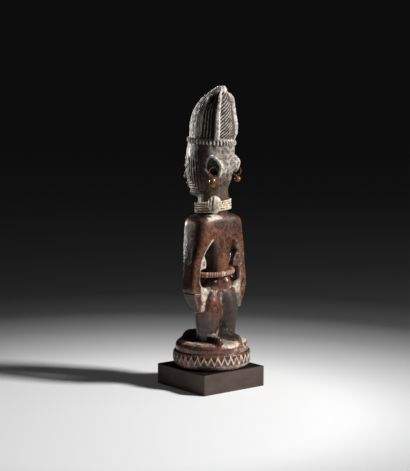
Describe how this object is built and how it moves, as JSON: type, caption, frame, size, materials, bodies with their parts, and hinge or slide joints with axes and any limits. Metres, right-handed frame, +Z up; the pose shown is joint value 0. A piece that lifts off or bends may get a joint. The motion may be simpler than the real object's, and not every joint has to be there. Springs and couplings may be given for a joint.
{
  "type": "ibeji figure",
  "caption": "Standing carved wooden twin figure with a tall grooved coiffure, arms joined to the hips, bead strands and ear hoops, on a round carved base and a square plinth.",
  "frame": {"origin": "on the underside of the plinth, at the axis of the figure's round base, which is the centre of the bounding box's foot", "axes": "+Z up; the figure faces -Y, so its own left is at +X"},
  "size_m": [0.0769, 0.0768, 0.2938],
  "materials": {
    "black_plinth_wood": "matt black stain with the grain showing",
    "dark_carved_wood": "dark reddish wood, glossy where handled, pale dust and kaolin in the recesses",
    "copper_wire": "dull copper-coloured wire",
    "amber_beads": "glossy amber",
    "cream_glass_beads": "opaque cream beads, soft gloss",
    "cowrie_shell": "worn opaque white shell",
    "salmon_disc_beads": "matt salmon and orange-red disc beads"
  },
  "bodies": {
    "root": {"plinth": "black_plinth_wood", "figure": "dark_carved_wood", "left_ear_hoop": "copper_wire", "right_ear_hoop": "copper_wire", "left_amber_bead": "amber_beads", "right_amber_bead": "amber_beads", "neck_bead_strands": "cream_glass_beads", "neck_cowrie_shell": "cowrie_shell", "waist_bead_string": "salmon_disc_beads"}
  },
  "joints": []
}
